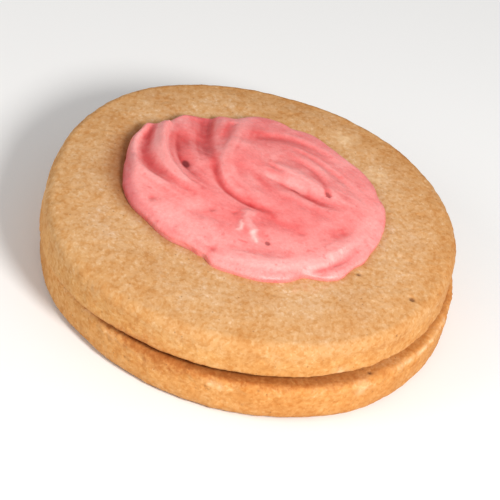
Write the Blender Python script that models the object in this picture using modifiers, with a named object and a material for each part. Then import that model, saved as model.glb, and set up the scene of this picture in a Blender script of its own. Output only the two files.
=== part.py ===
"""Belgian biscuit: a round sandwich of two flat spiced biscuits with jam between them and pink icing on top.

The origin is the centre of the flat face that it rests on. +Z is up and +X runs to the side where the
upper biscuit stands a little higher. The lower biscuit lies with its flat side up and the upper one with
its flat side down, so both rounded shoulders face outwards. The upper biscuit and its icing are built level
about their own centre and then tilted together. Lengths are in metres.
"""
import math
from collections import namedtuple

import bmesh
import bpy
import numpy as np

MM = 0.001

# The pair of biscuits
BISCUIT_RADIUS = 37.5 * MM
BISCUIT_THICKNESS = 7.6 * MM
SHOULDER_RADIUS = 1.9 * MM
CRISP_RADIUS = 0.5 * MM
LOWER_SCALE = 0.995
UPPER_SHIFT_X = -1.56 * MM
UPPER_SHIFT_Y = 0.92 * MM
UPPER_RISE_PER_X = 0.0113
UPPER_RISE_PER_Y = -0.0047
# Uneven outlines: (waves in a full turn, cosine amount, sine amount)
UPPER_WAVES = ((2, 0.04 * MM, 0.10 * MM), (3, 0.25 * MM, 0.0), (4, -0.39 * MM, 0.09 * MM))
LOWER_WAVES = ((2, -0.16 * MM, -0.14 * MM), (3, -0.13 * MM, 0.16 * MM), (4, 0.0, -0.12 * MM))

# The jam between them
JAM_SPACE = 1.04 * MM
JAM_RADIUS = 30.5 * MM
JAM_WAVES = ((1, 1.1 * MM, 0.4 * MM), (3, 0.5 * MM, -0.3 * MM), (5, -0.3 * MM, 0.4 * MM))
JAM_TONGUE_ANGLE = math.radians(62)
JAM_TONGUE_WIDTH = math.radians(16)
JAM_TONGUE_REACH = 4.0 * MM

# Touching pieces keep these gaps
ICING_GAP = 0.3 * MM
JAM_GAP = 0.25 * MM

# The icing, about the centre of the upper biscuit
ICING_X = -0.4 * MM
ICING_Y = 2.2 * MM
ICING_RADIUS = 22.9 * MM
ICING_LIP = 0.6 * MM
DOME_HEIGHT = 1.8 * MM
DOME_POWER = 3.0
RIM_HEIGHT = 1.4 * MM
HIGH_RIM_EXTRA = 0.8 * MM
HIGH_RIM_ANGLE = math.radians(165)
HIGH_RIM_REACH = 15 * MM
RIM_WIDTH = 0.9 * MM
SOFT_RIM_EXTRA = 1.5 * MM
SOFT_RIM_ANGLE = math.radians(-75)
SLANTED_RIM_EXTRA = 0.9 * MM
SLANTED_RIM_DEGREES = 188
SLANTED_RIM_SPAN = 30
RELIEF_FADE = 2.0 * MM
RELIEF_AT_EDGE = 0.4
RELIEF_GAIN = 1.12
# Where the wide hollow runs out through the rim
OPEN_EDGE_EXTRA = 0.45
OPEN_EDGE_DEGREES = 121
OPEN_EDGE_SPAN = 11

# Bulges and nicks in the icing's outline: (angle, half width, outward amount), in degrees and mm
ICING_LOBES = (
    (160, 15, 2.2),
    (151.5, 3.5, 0.9),
    (147, 1.5, -0.9),
    (132, 8, 1.0),
    (109, 8, -1.9),
    (93, 7, 0.4),
    (80, 4, -0.8),
    (60, 5, -0.4),
    (50, 9, -0.9),
    (22, 4, -0.4),
    (5, 34, 1.3),
    (-25, 5, 0.7),
    (-41, 9, 1.5),
    (-57, 5, -1.0),
    (-92, 9, -0.6),
    (-106, 3, -0.7),
    (-114, 12, -2.4),
    (-136, 14, -1.1),
    (-168, 18, 0.8),
)

# A stroke of the spreading knife, in mm: the line of its crest or groove, its height (below zero for a
# groove), its half width to the left and right of travel, and the shares of its length that fade in and out.
Stroke = namedtuple("Stroke", "line height left right fade_in fade_out")
ICING_STROKES = (
    # the sharp ridge along the left edge and the hollow inside it
    Stroke(
        ((-22.4, 14), (-23.9, 9), (-23.7, 4.6), (-22.4, 1.4), (-20.4, -1.0), (-17.3, -2.9), (-8.5, -6.3)),
        0.75, 1.1, 1.7, 0, 0.55,
    ),
    Stroke(
        ((-21.4, 15.5), (-21.9, 10), (-21.3, 6.2), (-20, 2.8), (-18, 0.4), (-15.4, -1.7), (-11.8, -3.8)),
        -0.62, 1.4, 1.9, 0, 0.55,
    ),
    # the high ridge next to it, steep on its inner side
    Stroke(
        ((-18.7, 17), (-19.0, 11.4), (-18.4, 7), (-17.3, 4), (-15.7, 1.4), (-12.5, -1.5), (-5.6, -3.9)),
        1.4, 0.9, 1.6, 0.1, 0.7,
    ),
    Stroke(
        ((-16.5, 17), (-16.1, 10.6), (-15.1, 6.2), (-13.2, 2.8), (-10, 0.2), (-6.8, -0.9)),
        -0.75, 2.8, 0.9, 0.3, 0.45,
    ),
    # the wide hollow, its deepest line and the shoulder to the right of it
    Stroke(
        ((-13, 23), (-12.4, 15), (-11.4, 9), (-9.8, 4.6)),
        -1.05, 2.6, 2.9, 0, 0.5,
    ),
    Stroke(
        ((-11.8, 22), (-11.3, 15.5), (-10.3, 10), (-9.1, 5.2)),
        -0.75, 1.1, 1.8, 0, 0.4,
    ),
    Stroke(
        ((-5.4, 23.5), (-6.2, 14.5), (-6.9, 8), (-6.1, 3.2), (-3.6, 0.4), (0.6, -1.6), (5, -3.4)),
        0.5, 2.5, 1.3, 0, 0.6,
    ),
    Stroke(
        ((-9, 9), (-8.2, 4.4), (-6.7, 1), (-4.6, -1.1), (-1.8, -2.6), (1.6, -3.5), (5.4, -3.7)),
        -0.55, 0.9, 0.9, 0.25, 0.3,
    ),
    # arcs round the far right side
    Stroke(
        ((-4, 15.3), (-1, 17.8), (3.2, 19.1), (8.4, 18), (13, 15.2), (17, 11.8)),
        -0.36, 1.1, 1.6, 0.2, 0.5,
    ),
    Stroke(
        ((0.4, 15), (4.4, 15.8), (8.4, 14.8), (12, 12.6), (15.6, 9.8), (18.6, 7.4), (21, 5.8)),
        -0.3, 0.9, 1.0, 0.45, 0.4,
    ),
    Stroke(
        ((2.2, 13.2), (5.8, 12.8), (8.9, 11.4), (10.9, 8.8), (12.2, 6), (12.8, 4.6)),
        -0.33, 0.9, 0.9, 0.5, 0.02,
    ),
    # the crest in the middle and the crease below it
    Stroke(
        ((-1.5, 8.4), (4, 8.4), (8.5, 7.2), (12, 5.8), (16, 5), (20, 4.6)),
        0.5, 2, 1, 0.3, 0.5,
    ),
    Stroke(
        ((-0.4, 5.8), (3, 5.4), (6.5, 5), (9.2, 4), (12, 3.3), (16.5, 2.4)),
        -0.9, 0.9, 1.5, 0.4, 0.4,
    ),
    # the raised near rim, the soft dips inside it and the fold in its right end
    Stroke(
        ((-5, -17), (0, -17.4), (5, -17), (9.6, -15.4), (13.4, -12.6), (17, -8.4), (19.8, -3), (21.4, 3)),
        0.42, 1.7, 1.5, 0.2, 0.3,
    ),
    Stroke(
        ((11, -7.4), (14.6, -5.6), (16.6, -2), (16.8, 2)),
        -0.2, 2.6, 2.6, 0.4, 0.4,
    ),
    Stroke(
        ((12, -17.2), (13.8, -15), (16.2, -12.6), (18.9, -8.9), (21, -4.8)),
        -0.45, 0.9, 0.9, 0, 0.5,
    ),
    # the small facet in front
    Stroke(
        ((-0.4, -4.4), (-0.5, -8), (1.6, -11)),
        0.4, 1.3, 1.0, 0.2, 0.1,
    ),
)

# Mesh fineness
TURN_STEPS = 96
ARC_STEPS = 5
CRISP_STEPS = 2
JAM_STEPS = 72
ICING_CELLS = 60
RING_CROWDING = 0.3
STROKE_STEPS = 10
MERGE_DISTANCE = 0.01 * MM
SHARP_ANGLE = math.radians(40)

# Colours: red, green, blue, roughness
BISCUIT_COLOUR = (0.72, 0.42, 0.19, 0.9)
ICING_COLOUR = (0.93, 0.27, 0.26, 0.45)
JAM_COLOUR = (0.22, 0.01, 0.02, 0.25)


def clear_scene():
    for thing in list(bpy.data.objects):
        bpy.data.objects.remove(thing, do_unlink=True)
    for group in list(bpy.data.collections):
        bpy.data.collections.remove(group)


def make_collection(name):
    group = bpy.data.collections.new(name)
    bpy.context.scene.collection.children.link(group)
    return group


def make_material(name, colour):
    material = bpy.data.materials.new(name)
    material.use_nodes = True
    shader = material.node_tree.nodes["Principled BSDF"]
    red, green, blue, roughness = colour
    shader.inputs["Base Color"].default_value = (red, green, blue, 1.0)
    shader.inputs["Roughness"].default_value = roughness
    shader.inputs["Metallic"].default_value = 0.0
    material.diffuse_color = (red, green, blue, 1.0)
    return material


def make_object(name, mesh, material, group):
    mesh.materials.append(material)
    mesh.shade_smooth()
    mesh.set_sharp_from_angle(angle=SHARP_ANGLE)
    thing = bpy.data.objects.new(name, mesh)
    group.objects.link(thing)
    return thing


def wave(angle, waves):
    """Outward amount of an uneven outline at an angle."""
    return sum(c * math.cos(n * angle) + s * math.sin(n * angle) for n, c, s in waves)


def arc(centre_x, centre_z, radius, start, end, steps):
    """Points of an arc in the XZ plane, angles in degrees from +X towards +Z."""
    points = []
    for i in range(steps + 1):
        angle = math.radians(start + (end - start) * i / steps)
        points.append((centre_x + radius * math.cos(angle), centre_z + radius * math.sin(angle)))
    return points


def turned_mesh(name, profile, steps, group):
    """Mesh of a profile of (radius, height), top to bottom, turned once round Z by a Screw modifier."""
    line = bpy.data.meshes.new(name)
    edges = [(i, i + 1) for i in range(len(profile) - 1)]
    line.from_pydata([(x, 0.0, z) for x, z in profile], edges, [])
    guide = bpy.data.objects.new(name, line)
    group.objects.link(guide)
    screw = guide.modifiers.new("Turn", "SCREW")
    screw.axis = "Z"
    screw.steps = steps
    screw.render_steps = steps
    screw.use_merge_vertices = True
    screw.merge_threshold = MERGE_DISTANCE
    mesh = bpy.data.meshes.new_from_object(guide.evaluated_get(bpy.context.evaluated_depsgraph_get()))
    mesh.name = name
    bpy.data.objects.remove(guide, do_unlink=True)
    return mesh


def push_outline(mesh, radius, waves, bump=None):
    """Scale each point outwards by the outline's amount at its angle, so that flat faces stay flat."""
    for vertex in mesh.vertices:
        angle = math.atan2(vertex.co.y, vertex.co.x)
        amount = wave(angle, waves)
        if bump:
            amount += bump(angle)
        vertex.co.x *= 1 + amount / radius
        vertex.co.y *= 1 + amount / radius


def face_outwards(mesh):
    shape = bmesh.new()
    shape.from_mesh(mesh)
    bmesh.ops.recalc_face_normals(shape, faces=shape.faces[:])
    shape.to_mesh(mesh)
    shape.free()


def biscuit_mesh(name, radius, waves, shoulder_up, group):
    """A flat round with a soft shoulder on its baked side and a crisp edge on the side it was baked on."""
    top = SHOULDER_RADIUS if shoulder_up else CRISP_RADIUS
    foot = CRISP_RADIUS if shoulder_up else SHOULDER_RADIUS
    top_steps = ARC_STEPS if shoulder_up else CRISP_STEPS
    foot_steps = CRISP_STEPS if shoulder_up else ARC_STEPS
    profile = [(0.0, BISCUIT_THICKNESS)]
    profile += arc(radius - top, BISCUIT_THICKNESS - top, top, 90, 0, top_steps)
    profile += arc(radius - foot, foot, foot, 0, -90, foot_steps)
    profile.append((0.0, 0.0))
    mesh = turned_mesh(name, profile, TURN_STEPS, group)
    push_outline(mesh, radius, waves)
    face_outwards(mesh)
    return mesh


def jam_tongue(angle):
    """The one place where the jam reaches out towards the seam."""
    turn = math.remainder(angle - JAM_TONGUE_ANGLE, math.tau) / JAM_TONGUE_WIDTH
    return JAM_TONGUE_REACH * math.exp(-turn * turn)


def upper_rise(x, y):
    """Height of the tilted upper biscuit at a point, above its level height."""
    return UPPER_RISE_PER_X * (x - UPPER_SHIFT_X) + UPPER_RISE_PER_Y * (y - UPPER_SHIFT_Y)


def jam_mesh(name, group):
    """A thin wedge of jam that fills the space between the biscuits, less the gaps, with a bulging side."""
    thickness = JAM_SPACE - 2 * JAM_GAP
    bulge = thickness / 2
    profile = [(0.0, thickness), (JAM_RADIUS - bulge, thickness)]
    profile += [(JAM_RADIUS, bulge), (JAM_RADIUS - bulge, 0.0), (0.0, 0.0)]
    mesh = turned_mesh(name, profile, JAM_STEPS, group)
    push_outline(mesh, JAM_RADIUS, JAM_WAVES, jam_tongue)
    face_outwards(mesh)
    for vertex in mesh.vertices:
        share = vertex.co.z / thickness
        vertex.co.z += share * upper_rise(vertex.co.x, vertex.co.y)
    return mesh


def smooth_line(points):
    """A Catmull-Rom line through a stroke's points, in metres."""
    fixed = np.array(points, float) * MM
    ends = np.vstack([2 * fixed[0] - fixed[1], fixed, 2 * fixed[-1] - fixed[-2]])
    share = np.linspace(0, 1, STROKE_STEPS, endpoint=False)[:, None]
    pieces = []
    for a, b, c, d in zip(ends, ends[1:], ends[2:], ends[3:]):
        bend = 2 * a - 5 * b + 4 * c - d
        turn = 3 * b - a - 3 * c + d
        pieces.append(0.5 * (2 * b + (c - a) * share + bend * share**2 + turn * share**3))
    pieces.append(fixed[-1:])
    return np.vstack(pieces)


def from_line(x, y, line):
    """Distance from a line, positive on the left of travel, and the share of its length, for each point."""
    steps = np.diff(line, axis=0)
    lengths = np.hypot(steps[:, 0], steps[:, 1])
    starts = np.concatenate([[0.0], np.cumsum(lengths)])
    nearest = np.full(x.shape, np.inf)
    side = np.zeros(x.shape)
    along = np.zeros(x.shape)
    for (start_x, start_y), (step_x, step_y), length, start in zip(line, steps, lengths, starts):
        share = np.clip(((x - start_x) * step_x + (y - start_y) * step_y) / length**2, 0, 1)
        away_x = x - start_x - share * step_x
        away_y = y - start_y - share * step_y
        distance = np.hypot(away_x, away_y)
        closer = distance < nearest
        nearest = np.where(closer, distance, nearest)
        side = np.where(closer, np.sign(step_x * away_y - step_y * away_x), side)
        along = np.where(closer, (start + share * length) / starts[-1], along)
    return nearest * side, along


def ease(share):
    share = np.clip(share, 0, 1)
    return share * share * (3 - 2 * share)


def stroke_height(x, y, stroke):
    distance, along = from_line(x, y, smooth_line(stroke.line))
    width = np.where(distance > 0, stroke.left, stroke.right) * MM
    fade = np.ones(x.shape)
    if stroke.fade_in:
        fade = fade * ease(along / stroke.fade_in)
    if stroke.fade_out:
        fade = fade * ease((1 - along) / stroke.fade_out)
    return stroke.height * MM * fade * np.exp(-((distance / width) ** 2))


def turn_from(angle, degrees):
    """Degrees from one direction, from -180 to 180."""
    return (np.degrees(angle) - degrees + 180) % 360 - 180


def icing_outline(angle):
    """Radius of the icing's edge at each angle."""
    radius = np.full(angle.shape, ICING_RADIUS)
    for centre, width, amount in ICING_LOBES:
        radius = radius + amount * MM * np.exp(-((turn_from(angle, centre) / width) ** 2))
    return radius


def icing_height(x, y):
    """Height of the icing above the biscuit, for points about the icing's centre."""
    angle = np.arctan2(y, x)
    radius = np.hypot(x, y)
    outline = icing_outline(angle)
    inside = outline - radius
    high = np.clip(np.cos(angle - HIGH_RIM_ANGLE), 0, 1)
    soft = 0.5 + 0.5 * np.cos(angle - SOFT_RIM_ANGLE)
    rim = RIM_HEIGHT + HIGH_RIM_EXTRA * high**2 * ease(radius / HIGH_RIM_REACH)
    slanted = np.exp(-((turn_from(angle, SLANTED_RIM_DEGREES) / SLANTED_RIM_SPAN) ** 2))
    rim_width = RIM_WIDTH + SOFT_RIM_EXTRA * soft**2 + SLANTED_RIM_EXTRA * slanted
    fall = np.clip(1 - inside / rim_width, 0, 1)
    dome = DOME_HEIGHT * (1 - np.clip(radius / ICING_RADIUS, 0, 1) ** DOME_POWER)
    body = rim * np.sqrt(1 - fall**2) + dome
    relief = sum(stroke_height(x + ICING_X, y + ICING_Y, stroke) for stroke in ICING_STROKES)
    open_edge = np.exp(-((turn_from(angle, OPEN_EDGE_DEGREES) / OPEN_EDGE_SPAN) ** 2))
    at_edge = RELIEF_AT_EDGE + OPEN_EDGE_EXTRA * open_edge
    keep = at_edge + (1 - at_edge) * ease(inside / RELIEF_FADE)
    return np.maximum(body + relief * RELIEF_GAIN * keep, ICING_LIP)


def disc_from_square(a, b):
    """Even map of the square from -1 to 1 to a disc: the share of the radius, and the angle."""
    wide = np.abs(a) > np.abs(b)
    share = np.where(wide, a, b)
    safe = np.where(share == 0, 1, share)
    eighth = math.pi / 4
    angle = np.where(wide, eighth * b / safe, 2 * eighth - eighth * a / safe)
    angle = np.where(share < 0, angle + math.pi, angle)
    return np.abs(share), angle


def icing_mesh(name):
    """A grid laid out as the icing's outline, raised to its height, with its side and flat foot added."""
    shape = bmesh.new()
    bmesh.ops.create_grid(shape, x_segments=ICING_CELLS, y_segments=ICING_CELLS, size=1.0)
    square = np.array([vertex.co for vertex in shape.verts])
    share, angle = disc_from_square(square[:, 0], square[:, 1])
    crowded = share + RING_CROWDING * np.sin(math.pi * share) / math.pi
    radius = crowded * icing_outline(angle)
    x = radius * np.cos(angle)
    y = radius * np.sin(angle)
    z = icing_height(x, y)
    for vertex, place in zip(shape.verts, np.stack([x + ICING_X, y + ICING_Y, z], axis=1)):
        vertex.co = place
    bmesh.ops.triangulate(shape, faces=shape.faces[:], quad_method="SHORT_EDGE")
    border = [edge for edge in shape.edges if edge.is_boundary]
    side = bmesh.ops.extrude_edge_only(shape, edges=border)["geom"]
    for vertex in (item for item in side if isinstance(item, bmesh.types.BMVert)):
        vertex.co.z = ICING_GAP
    foot = [edge for edge in shape.edges if edge.is_boundary]
    bmesh.ops.edgeloop_fill(shape, edges=foot)
    bmesh.ops.recalc_face_normals(shape, faces=shape.faces[:])
    mesh = bpy.data.meshes.new(name)
    shape.to_mesh(mesh)
    shape.free()
    return mesh


def upper_pivot(group):
    """The empty that tilts and places the upper biscuit with its icing."""
    pivot = bpy.data.objects.new("upper_pivot", None)
    pivot.location = (UPPER_SHIFT_X, UPPER_SHIFT_Y, BISCUIT_THICKNESS + JAM_SPACE)
    pivot.rotation_euler = (math.atan(UPPER_RISE_PER_Y), -math.atan(UPPER_RISE_PER_X), 0.0)
    group.objects.link(pivot)
    return pivot


def build():
    clear_scene()
    group = make_collection("belgian_biscuit")
    biscuit = make_material("biscuit", BISCUIT_COLOUR)
    upper_material = make_material("biscuit_upper", BISCUIT_COLOUR)
    icing = make_material("icing", ICING_COLOUR)
    jam = make_material("jam", JAM_COLOUR)
    pivot = upper_pivot(group)

    lower_radius = BISCUIT_RADIUS * LOWER_SCALE
    lower = biscuit_mesh("biscuit_bottom", lower_radius, LOWER_WAVES, False, group)
    make_object("biscuit_bottom", lower, biscuit, group)

    filling = make_object("jam", jam_mesh("jam", group), jam, group)
    filling.location.z = BISCUIT_THICKNESS + JAM_GAP

    upper = biscuit_mesh("biscuit_top", BISCUIT_RADIUS, UPPER_WAVES, True, group)
    make_object("biscuit_top", upper, upper_material, group).parent = pivot

    topping = make_object("icing", icing_mesh("icing"), icing, group)
    topping.parent = pivot
    topping.location.z = BISCUIT_THICKNESS


build()
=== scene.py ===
import math
from collections import namedtuple

import bmesh
import bpy
import numpy as np
from mathutils import Matrix, Vector


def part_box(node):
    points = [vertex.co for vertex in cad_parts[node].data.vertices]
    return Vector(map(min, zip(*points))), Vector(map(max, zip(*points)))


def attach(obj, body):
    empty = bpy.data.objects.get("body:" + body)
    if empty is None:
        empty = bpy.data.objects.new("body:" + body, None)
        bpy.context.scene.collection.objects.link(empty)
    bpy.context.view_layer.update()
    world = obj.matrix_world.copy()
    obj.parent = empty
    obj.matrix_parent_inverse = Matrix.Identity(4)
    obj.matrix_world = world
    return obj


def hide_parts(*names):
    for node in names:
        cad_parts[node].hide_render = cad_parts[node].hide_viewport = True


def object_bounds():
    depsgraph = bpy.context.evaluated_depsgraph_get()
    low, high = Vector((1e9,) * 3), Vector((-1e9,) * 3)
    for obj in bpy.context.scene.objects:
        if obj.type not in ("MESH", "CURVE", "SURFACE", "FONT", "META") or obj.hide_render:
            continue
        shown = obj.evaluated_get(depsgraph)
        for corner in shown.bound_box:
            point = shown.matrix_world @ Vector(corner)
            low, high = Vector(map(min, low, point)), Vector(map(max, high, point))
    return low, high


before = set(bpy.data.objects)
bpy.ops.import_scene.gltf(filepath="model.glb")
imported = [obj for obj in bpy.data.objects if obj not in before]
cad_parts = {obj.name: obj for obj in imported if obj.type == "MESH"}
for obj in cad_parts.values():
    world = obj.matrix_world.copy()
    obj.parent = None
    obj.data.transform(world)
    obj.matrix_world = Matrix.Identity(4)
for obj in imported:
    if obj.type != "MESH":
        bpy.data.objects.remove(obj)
CAD_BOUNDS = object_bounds()

# Shapes are in millimetres until the meshes are written. Directions and turns are in degrees, anticlockwise
# from +X. Colours are scene-linear.
MM = 0.001

# Something that is strongest in one direction and fades to both sides of it
Side = namedtuple("Side", "direction half_width amount")
# Noise on a surface: amount, size of its largest bumps, seed, and the number of ever finer layers
Rough = namedtuple("Rough", "amount size seed layers")
# Noise along a round edge: the radius and the level at which it is read, and the noise itself
Edge = namedtuple("Edge", "radius level kind")

FACE_CELLS = 216
ICING_CELLS = 290
JAM_CELLS = 60

# ---- sizes of the biscuits

LOWER_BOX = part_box("biscuit_bottom")
THICKNESS = (LOWER_BOX[1].z - LOWER_BOX[0].z) / MM
BISCUIT_RADIUS = 37.5
LOWER_SCALE = 0.995
SEAM = 1.04
UPPER_SHIFT = (-1.56, 0.92)
UPPER_RISE = (0.0113, -0.0047)
# Uneven outlines: (waves in a full turn, cosine amount, sine amount)
UPPER_WAVES = ((2, 0.04, 0.10), (3, 0.25, 0), (4, -0.39, 0.09))
LOWER_WAVES = ((2, -0.16, -0.14), (3, -0.13, 0.16), (4, 0, -0.12))

# Radius, outline, radii of the shoulder and the crisp edge, how crumbly that edge and how ragged the outline
# is, how far the face falls towards the rim, and the seed of the noise
Form = namedtuple("Form", "radius waves shoulder crisp crumbly ragged droop seed")
UPPER_FORM = Form(BISCUIT_RADIUS, UPPER_WAVES, 2.1, 0.6, 0.07, 0.09, 0.75, 37)
LOWER_FORM = Form(BISCUIT_RADIUS * LOWER_SCALE, LOWER_WAVES, 1.9, 1.25, 0.2, 0.12, 0.1, 11)
# The outer share of the radius over which the face falls
DROOP_SHARE = 0.22
# The flat base is modelled this far in, past the jam's edge, in rings that lie closer near its own edge
BASE_REACH = 9.0
BASE_ROWS = 14
BASE_SPACING = 1.6
# The distance inwards over which the zone changes by 1, on the face and the base
ZONE_REACH = 5.0
# Where the upper biscuit's edge hangs down onto the lower one, how far in that starts and how wide it grows
SEAM_DROOP = Side(198, 26, 0.85)
SEAM_DROOP_RADIUS = 30
SEAM_DROOP_WIDTH = 6

# Unevenness of the edges and relief of the dough, with seeds counted from the form's own
OUTLINE_NOISE = Edge(37, 5, Rough(1, 7, 2, 3))
SHOULDER_NOISE = Edge(37, 0, Rough(0.3, 9, 1, 1))
CRISP_NOISE = Edge(37, 9, Rough(0.3, 5, 3, 1))
DOUGH_SWELL = Rough(0.11, 12, 5, 2)
DOUGH_LUMPS = Rough(0.055, 2.4, 9, 2)
DOUGH_SAND = Rough(1, 0.75, 13, 2)
SAND_HEIGHT = 0.045
SAND_SHARPNESS = 1.3
DOUGH_CRACKS = Rough(1, 1.7, 17, 2)
CRACK_DEPTH = 0.13
CRUMBLY_EDGE = Rough(1, 1.1, 21, 2)

# Pores at random places: their number, range of radii, share on the face, and how far in from its rim
PORES = 240
PORE_RADII = (0.16, 0.32)
PORES_ON_FACE = 0.7
PORE_MARGIN = 1.5
# The value that the material reads in a pit 1 mm deep, for the painted shade in pits
PIT_DARKNESS = 3

# Pinholes (x, y, z, radius, depth) and pale crumbs (x, y, z, radius), about each biscuit's own centre. The
# lower biscuit's marks are given face up, as it is before it is turned over.
UPPER_PINHOLES = ((31.2, -13.8, THICKNESS - 0.5, 0.52, 0.5), (21, -11.2, THICKNESS, 0.46, 0.4))
UPPER_CRUMBS = ((13.1, 26.9, THICKNESS, 2.2), (20, 17.7, THICKNESS, 2), (21.8, -30.3, 0.5, 1.1))
LOWER_PINHOLES = ((25.4, 25, 0, 0.45, 0.35),)
LOWER_CRUMBS = ((24.7, 28.3, 1.3, 1.4), (0.3, 37.3, 1.4, 0.8), (-1.3, 37.2, 1.2, 0.6))
CRUMB_GRAINS = Rough(1, 0.8, 505, 2)
# A painted highlight along the lower biscuit's crisp edge, laid as pale crumbs: radius, height, width, first
# and last angle
EDGE_HIGHLIGHT_LINE = (36.9, 0.5, 0.38, 7, 36)

# ---- what the dough's colour follows

# The side that baked browner
BROWN_SIDE = 35
# Where the light reaches the ledge below the seam
LIT_LEDGE = Side(-24, 32, 0.95)
# Where crumbs and shade widen the brown line below the seam
BROWN_LINE = Side(-108, 15, 0.75)
# Painted shadow of the icing on the dough beside it: the side where it is widest, the reach elsewhere, and the
# extra reach there
PAINTED_SHADOW_SIDE = Side(177, 24, 1)
PAINTED_SHADOW_REACH = 1.2
PAINTED_SHADOW_EXTRA = 2.4
# Faint pink smears on the dough: (x, y, radius)
PINK_SMEARS = ((13.2, -18.4, 1.2), (10.4, -19.8, 0.9), (15.6, -17.2, 0.8))
SMEAR_GRAINS = Rough(1, 1.2, 515, 2)

# ---- jam

JAM_RADIUS = 30.5
JAM_WAVES = ((1, 1.1, 0.4), (3, 0.5, -0.3), (5, -0.3, 0.4))
JAM_TONGUE = Side(62, 16, 4)
JAM_NOISE = Edge(30, 3, Rough(0.5, 8, 71, 3))
# It reaches this far into both biscuits
JAM_OVERLAP = 0.04
# Rings round its edge, how far in they start, and how far they bulge from there
JAM_ROWS = 7
JAM_EDGE = 0.4
JAM_BULGE = 0.45

# ---- icing

ICING_CENTRE = (-0.4, 2.2)
ICING_RADIUS = 22.9
# The height where its edge turns down, and the least height anywhere as a share of that
ICING_FOOT = 0.45
LEAST_HEIGHT = 0.8
DOME_HEIGHT = 1.8
DOME_POWER = 3.0
RIM_HEIGHT = 1.4
HIGH_RIM_EXTRA = 0.8
HIGH_RIM_DIRECTION = 165
HIGH_RIM_REACH = 15
RIM_WIDTH = 0.9
SLANTED_RIM = Side(188, 30, 0.9)
SOFT_RIM_EXTRA = 1.5
SOFT_RIM_DIRECTION = -75
# The grid's outer share that the rolled edge gets, and that edge's width
ROLLED_SHARE = 0.1
ROLLED_WIDTH = 0.9
# Its side's rings, how far the lowest draws in and sinks, and how far the middle point and the whole sink
SIDE_ROWS = 5
UNDERCUT = 0.12
SIDE_SUNK = 0.12
MIDDLE_SUNK = 0.15
BASE_SUNK = 0.02
# Noise along its outline, over its top, on the raised glint marks, and in its patches of colour
ICING_NOISE = Edge(23, 1, Rough(0.12, 2.6, 91, 3))
ICING_SWELL = Rough(0.10, 4.5, 301, 2)
ICING_LUMPS = Rough(0.035, 1.2, 311, 3)
GLINT_LUMPS = Rough(0.5, 0.9, 401, 1)
PATCH_NOISE = Rough(0.6, 1.3, 421, 2)
# Bulges and nicks in its outline: (direction, half width, outward amount)
ICING_LOBES = (
    (160, 15, 2.2),
    (151.5, 3.5, 0.9),
    (147, 1.6, -1.3),
    (132, 8, 1),
    (109, 8, -1.9),
    (93, 7, 0.4),
    (80, 4, -0.8),
    (60, 5, -0.4),
    (50, 9, -0.9),
    (22, 4, -0.4),
    (5, 34, 1.3),
    (-25, 5, 0.7),
    (-41, 9, 1.5),
    (-57, 5, -1),
    (-92, 9, -0.6),
    (-106, 3, -0.7),
    (-114, 12, -2.4),
    (-136, 14, -1.1),
    (-168, 18, 0.8),
)

# Relief from the knife: its gain, how far in it is full, its share at the edge, and where more runs out
RELIEF_GAIN = 1.12
RELIEF_FADE = 2.0
RELIEF_AT_EDGE = 0.4
OPEN_EDGE = Side(121, 11, 0.45)
# Fine lines that the knife leaves beside a stroke: height, limit, width, length, seed and reach to each side
STREAK_HEIGHT = 0.04
STREAK_LIMIT = 1.2
STREAK_WIDTH = 0.6
STREAK_LENGTH = 6
STREAK_SEED = 200
STREAK_REACH = 1.4
# Strokes lower than this leave no fine lines
SMOOTH_STROKE = 0.27
# A stroke is worked out this many half widths to each side of its line
STROKE_REACH = 4.5

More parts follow.
